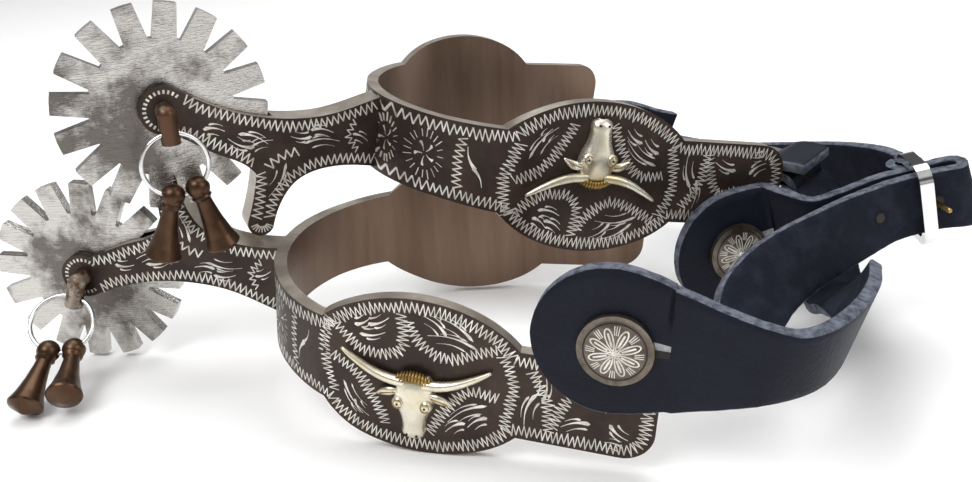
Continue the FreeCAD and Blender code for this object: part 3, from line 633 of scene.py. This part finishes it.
RUNS = {
    "lower_strap_front": [
        (101.5, -72.0, 31.4, 0.0, 0.0, 1.0, 18.5), (109.0, -73.0, 31.1, 0.0, -0.2, 0.98, 16.0),
        (116.0, -70.5, 31.6, 0.03, -0.28, 0.96, 16.0), (123.3, -62.5, 31.5, 0.12, -0.29, 0.95, 16.0),
        (129.9, -50.5, 30.1, 0.2, -0.32, 0.93, 16.0), (134.2, -37.5, 27.8, 0.35, -0.3, 0.88, 16.0),
        (137.2, -26.0, 22.6, 0.65, -0.25, 0.7, 16.0), (138.8, -15.5, 16.2, 0.9, -0.05, 0.4, 16.0),
        (141.2, -4.5, 13.0, 0.97, 0.05, 0.1, 16.0), (142.6, 4.0, 14.4, 0.97, -0.05, 0.02, 16.0),
        (144.0, 9.6, 18.9, 0.9, 0.2, -0.15, 16.0), (144.6, 12.2, 24.6, 0.8, 0.55, -0.12, 16.0),
        (143.4, 13.6, 30.0, 0.71, 0.69, 0.05, 16.0), (140.6, 15.8, 33.7, 0.69, 0.71, 0.115, 16.0),
        (137.0, 19.1, 35.1, 0.69, 0.71, 0.115, 16.0)],
    "lower_strap_rear": [
        (104.5, 42.0, 33.6, 0.0, -0.1, 1.0, 20.0), (112.5, 41.6, 34.4, -0.15, -0.5, 0.85, 16.0),
        (119.2, 36.9, 34.2, -0.5, -0.75, 0.4, 16.0), (123.7, 32.2, 34.0, -0.69, -0.71, -0.115, 15.1),
        (127.0, 29.1, 33.5, -0.69, -0.71, -0.115, 15.1), (128.2, 27.8, 34.1, -0.69, -0.71, -0.115, 15.1),
        (133.9, 21.2, 40.3, -0.69, -0.71, -0.115, 15.1), (136.8, 18.3, 41.7, -0.69, -0.71, -0.115, 15.1),
        (141.0, 14.2, 41.4, -0.69, -0.71, -0.115, 14.0)],
    "upper_strap_front": [
        (136.0, -2.4, 28.6, -0.3, 0.0, 0.95, 18.5), (144.0, -3.2, 31.8, -0.34, 0.0, 0.94, 16.0),
        (152.0, -4.2, 35.2, -0.25, 0.0, 0.96, 16.0), (160.0, -4.6, 37.0, -0.2, 0.0, 0.97, 16.0),
        (166.0, -4.0, 38.3, -0.22, 0.0, 0.97, 16.0), (170.0, -4.8, 39.2, -0.35, 0.0, 0.94, 16.0),
        (171.6, -7.2, 39.2, -0.35, 0.0, 0.94, 16.0), (169.8, -9.7, 38.8, -0.3, 0.0, 0.95, 16.0),
        (165.4, -9.4, 38.2, -0.22, 0.0, 0.97, 15.6), (160.0, -8.8, 37.2, -0.2, 0.0, 0.97, 15.4),
        (151.0, -11.2, 36.0, -0.22, 0.02, 0.97, 15.4), (142.0, -14.4, 33.8, -0.38, 0.1, 0.92, 16.0),
        (133.2, -19.0, 31.9, -0.42, 0.15, 0.9, 16.5), (124.7, -24.2, 30.2, -0.46, 0.22, 0.86, 17.0),
        (116.9, -30.6, 28.4, -0.5, 0.3, 0.82, 17.5), (110.8, -37.5, 25.8, -0.52, 0.4, 0.75, 17.5),
        (107.0, -43.5, 22.6, -0.5, 0.45, 0.74, 15.0)],
    "upper_strap_rear": [
        (98.0, 99.0, 22.0, 0.0, 0.0, 1.0, 19.0), (108.0, 93.0, 22.0, 0.0, 0.0, 1.0, 16.0),
        (120.0, 76.0, 22.4, 0.0, 0.0, 1.0, 16.0), (132.0, 59.0, 25.0, -0.05, 0.05, 1.0, 16.0),
        (144.0, 42.0, 29.6, -0.1, 0.1, 1.0, 16.0), (153.0, 26.0, 34.0, -0.15, 0.1, 1.0, 16.0),
        (158.2, 12.0, 37.0, -0.2, 0.05, 0.97, 16.0), (160.2, 5.2, 37.4, -0.2, 0.03, 0.97, 16.0)]}


def round_end(spur, side, shift, slope):
    place = PLACES[spur][0]
    spin = place.to_3x3()
    along = spin @ Vector((math.cos(SPLAY), side * math.sin(SPLAY), 0))
    out = spin @ Vector((-math.sin(SPLAY), side * math.cos(SPLAY), 0))
    third = out.cross(along)
    origin = place @ on_band(side, BUTTON_X, BUTTON_Z, 0) + along * shift[0] + third * shift[1]
    a = math.radians(slope)
    direction = along * math.cos(a) + third * math.sin(a)
    wide = third * math.cos(a) - along * math.sin(a)
    if wide.z < 0:
        wide = -wide
    stations = []
    for i in range(19):
        reach = -math.cos(math.pi / 2 * i / 12) if i <= 12 else (i - 12) * 0.1167
        if reach < 0:
            width = 2 * ROUND_END * math.sqrt(max(1 - reach * reach, 0.0036))
        else:
            width = 2 * ROUND_END - (2 * ROUND_END - STRAP_WIDTH) * 0.55 * reach ** 1.6
        centre = origin + direction * (reach * ROUND_END) + out * (STRAP_GAP + STRAP_THICK / 2)
        stations.append((*centre, *wide, width))
    return stations, origin + out * (STRAP_GAP + STRAP_THICK / 2), direction, wide, out


def strap(name, spur, side, shift, slope, outer, marks=()):
    """Leather strap: grain outside, flesh inside, rough pale edges, a slit by the button and holes at marks
    drawn in painted shadow, a painted highlight on one lip of the slit.
    """
    head, button, direction, wide, out = round_end(spur, side, shift, slope)
    line = head + smooth_line([head[-1]] + RUNS[name], 1.2)[1:]
    count = len(line)
    across = 10
    section = [(k / across * 2 - 1, 1) for k in range(across + 1)]
    shape = Shape()
    rings, frames = [], []
    for i, s in enumerate(line):
        a, b = line[max(i - 1, 0)], line[min(i + 1, count - 1)]
        tangent = (Vector(b[:3]) - Vector(a[:3])).normalized() if i > len(head) - 2 else direction
        up = Vector(s[3:6])
        up = (up - tangent * up.dot(tangent)).normalized()
        normal = tangent.cross(up) * outer
        centre = Vector(s[:3])
        half = s[6] / 2
        frames.append((centre, tangent, up, normal, half))
        ring = []
        wobble = 0.12 * noise.noise(centre * 0.9)
        for v, _ in section:
            ring.append(centre + up * (v * (half - STRAP_RIM) + wobble) + normal * (STRAP_THICK / 2))
        ring.append(centre + up * (half + wobble) + normal * (STRAP_THICK / 2 - STRAP_RIM))
        ring.append(centre + up * (half + wobble) - normal * (STRAP_THICK / 2 - STRAP_RIM))
        for v, _ in reversed(section):
            ring.append(centre + up * (v * (half - STRAP_RIM) + wobble) - normal * (STRAP_THICK / 2))
        ring.append(centre - up * (half - wobble) - normal * (STRAP_THICK / 2 - STRAP_RIM))
        ring.append(centre - up * (half - wobble) + normal * (STRAP_THICK / 2 - STRAP_RIM))
        rings.append([row(p) for p in ring])
    per = len(rings[0])
    inside = across + 3
    for i in range(count - 1):
        for k in range(per):
            nxt = (k + 1) % per
            quad = (i * per + k, i * per + nxt, (i + 1) * per + nxt, (i + 1) * per + k)
            index = 0 if k < across else 1 if inside <= k < inside + across else 2
            shape.faces.append(quad if outer > 0 else tuple(reversed(quad)))
            shape.indices.append(index)
    shape.verts = [p for ring in rings for p in ring]
    shape.faces.append(tuple(range(per)) if outer < 0 else tuple(reversed(range(per))))
    shape.indices.append(2)
    far_end = range(per) if outer > 0 else reversed(range(per))
    shape.faces.append(tuple((count - 1) * per + k for k in far_end))
    shape.indices.append(2)
    # slit from the button outwards: a dark lens of painted shadow where it opens, and a painted highlight
    # along its one lip
    face = out * (STRAP_THICK / 2 + 0.03)
    lens, lip = [], []
    for i in range(13):
        t = i / 12
        p = button + direction * (7.0 + 13.0 * t) + face
        w = 1.9 * (1 - t) ** 0.8 + 0.03
        lens += [row(p + wide * w), row(p - wide * w)]
        lip += [row(p + wide * w + out * 0.02), row(p + wide * w * 0.1 + out * 0.02)]
    quads = [(2 * i, 2 * i + 1, 2 * i + 3, 2 * i + 2) for i in range(12)]
    shape.add(lens, quads, 3)
    shape.add(lip, quads, 4)
    # holes at marks: a disc of painted shadow on each face, ringed by a raised grain rim
    for mark in marks:
        centre, tangent, up, normal, _ = min(frames, key=lambda f: (f[0] - Vector(mark)).length)
        for way in (1, -1):
            middle = centre + normal * (way * (STRAP_THICK / 2 + 0.03))
            disc = [row(middle + tangent * (1.25 * math.cos(a)) + up * (1.25 * math.sin(a)))
                    for a in (2 * math.pi * k / 20 for k in range(20))]
            shape.add(disc, [tuple(range(20))], 3)
            ring = [row(middle + tangent * (1.45 * math.cos(a)) + up * (1.45 * math.sin(a)))
                    for a in (2 * math.pi * k / 20 for k in range(21))]
            shape.tube(ring, [0.14 * MM] * 21, 0, sides=6, up=normal)
    obj = piece(name + "_leather", shape.verts, shape.faces, [GRAIN, FLESH, FUZZ, GROOVE_AND_GAP_SHADE, SLIT_LIP_HIGHLIGHT],
                spur + "_spur", shape.indices)
    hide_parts(name)


def sleeve(name, spur):
    """The strap's end folded round the buckle's rear bar, in two loops with the prong's gap between them."""
    joint = joints[name + "_turn"]
    bar, axis = Vector(joint["pos_m"]), Vector(joint["axis"]).normalized()
    side = axis.orthogonal().normalized()
    third = axis.cross(side)
    shape = Shape()
    for way in (-1, 1):
        ends = (way * FOLD_GAP * MM, way * FOLD_HALF * MM)
        sides = 28
        verts = []
        for along in ends:
            for radius in (FOLD_OUTER, FOLD_INNER):
                verts += [bar + axis * along + (side * math.cos(a) + third * math.sin(a)) * (radius * MM)
                          for a in (2 * math.pi * k / sides for k in range(sides))]
        faces, kinds = [], []
        for k in range(sides):
            n = (k + 1) % sides
            faces += [(k, n, 2 * sides + n, 2 * sides + k),
                      (sides + n, sides + k, 3 * sides + k, 3 * sides + n),
                      (n, k, sides + k, sides + n),
                      (2 * sides + k, 2 * sides + n, 3 * sides + n, 3 * sides + k)]
            kinds += [0, 1, 2, 2]
        base = len(shape.verts)
        shape.verts += verts
        shape.faces += [tuple(base + i for i in f) for f in faces]
        shape.indices += kinds
    piece(name.replace("prong", "fold"), shape.verts, shape.faces, [GRAIN, FLESH, FUZZ], spur + "_spur",
          shape.indices, smooth=False)


# ---- finishes on the CAD pieces

def finish_faces(node, mats, choose):
    mesh = frame["nodes"][node].data
    mesh.materials.clear()
    for mat in mats:
        mesh.materials.append(mat)
    if choose:
        for polygon in mesh.polygons:
            polygon.material_index = choose(polygon)


def finish_spur(spur):
    place = PLACES[spur][0]
    back = place.inverted()
    spin = back.to_3x3()

    def local(polygon):
        return back @ (Vector(polygon.center) / MM - SHIFT), spin @ Vector(polygon.normal)

    def band_face(polygon):
        centre, normal = local(polygon)
        side = 1 if centre.y > 0 else -1
        x = max(centre.x, 0.05)
        if x < 30:
            flat = Vector((centre.x - BACK_RADIUS, centre.y, 0)).normalized()
        else:
            flat = Vector((-math.sin(SPLAY), side * math.cos(SPLAY), 0))
        facing = normal.dot(flat)
        return 0 if facing > 0.6 else 1 if facing < -0.6 else 2

    def shank_face(polygon):
        centre, normal = local(polygon)
        return 0 if abs(normal.y) > 0.7 else 2 if centre.x > -46 else 0

    finish_faces(spur + "_heel_band", [DARK, INSIDE, EDGE], band_face)
    finish_faces(spur + "_shank", [DARK, INSIDE, EDGE], shank_face)
    for part, mat in (("rowel", STEEL), ("rowel_pin", PIN), ("jingle_ring", WIRE), ("jingle_bob_left", BOB),
                      ("jingle_bob_right", BOB), ("button_front", BUTTON), ("button_rear", BUTTON),
                      ("buckle_frame", CHROME), ("buckle_prong", BRASS_AND_GLINT)):
        finish_faces(spur + "_" + part, [mat], None)


for spur, (place, front) in PLACES.items():
    finish_spur(spur)
    engrave(spur)
    for word, side in (("front", front), ("rear", -front)):
        longhorn(spur, side, word)
        button_flower(spur, side, word)
strap("lower_strap_front", "lower", -1, (-1.0, 1.0), 0, 1)
strap("lower_strap_rear", "lower", 1, (0.0, -5.0), 0, -1)
strap("upper_strap_front", "upper", 1, (0.0, 0.0), 30, 1, [(163.4, -9.3, 37.8), (148.0, -12.0, 33.6)])
strap("upper_strap_rear", "upper", -1, (0.0, 0.0), 0, -1)
sleeve("lower_buckle_prong", "lower")
sleeve("upper_buckle_prong", "upper")

# ---- floor, light and camera

bpy.ops.mesh.primitive_plane_add(size=6, location=(0, 0, -0.0002))
floor = bpy.context.object
floor.name = "floor"
floor.data.materials.append(PAPER)


def area_light(name, location, target, size, power):
    data = bpy.data.lights.new(name, "AREA")
    data.energy = power
    data.size = size
    lamp = bpy.data.objects.new(name, data)
    lamp.location = location
    lamp.rotation_euler = (Vector(target) - Vector(location)).to_track_quat("-Z", "Y").to_euler()
    bpy.context.scene.collection.objects.link(lamp)


area_light("key", (-0.35, -0.45, 0.75), (0, 0, 0.02), 0.45, 4.0)
area_light("fill", (0.7, -0.3, 0.5), (0, 0, 0.03), 0.5, 2.0)
area_light("top", (0.0, 0.3, 0.9), (0, 0, 0), 0.8, 6.0)

bpy.context.scene.view_settings.view_transform = "Standard"
world = bpy.data.worlds.new("studio")
bpy.context.scene.world = world
world.use_nodes = True
sky = world.node_tree
direction = sky.nodes.new("ShaderNodeTexCoord")
height = sky.nodes.new("ShaderNodeSeparateXYZ")
tones = sky.nodes.new("ShaderNodeValToRGB")
tones.color_ramp.elements[0].position = 0.0
tones.color_ramp.elements[0].color = (0.55, 0.55, 0.56, 1)
tones.color_ramp.elements[1].position = 1.0
tones.color_ramp.elements[1].color = (1, 1, 1, 1)
for position, tone in ((0.22, 0.9), (0.38, 0.12), (0.55, 0.2), (0.68, 1.0)):
    tones.color_ramp.elements.new(position).color = (tone, tone, tone, 1)
sky.links.new(direction.outputs["Generated"], height.inputs["Vector"])
sky.links.new(height.outputs["Z"], tones.inputs["Fac"])
sky.links.new(tones.outputs["Color"], sky.nodes["Background"].inputs["Color"])
sky.nodes["Background"].inputs["Strength"].default_value = 0.6

camera_data = bpy.data.cameras.new("camera")
camera_data.lens = 37.56
camera_data.sensor_width = 36
camera = bpy.data.objects.new("camera", camera_data)
bpy.context.scene.collection.objects.link(camera)
tilt = math.radians(22.52)
roll = -0.0584
right = Vector((1, 0, 0))
high = Vector((0, math.sin(tilt), math.cos(tilt)))
ahead = Vector((0, math.cos(tilt), -math.sin(tilt)))
right, high = right * math.cos(roll) + high * math.sin(roll), high * math.cos(roll) - right * math.sin(roll)
facing = Matrix((right, high, -ahead)).transposed().to_4x4()
camera.matrix_world = Matrix.Translation(row((52.56, -239.78, 129.28))) @ facing
bpy.context.scene.camera = camera
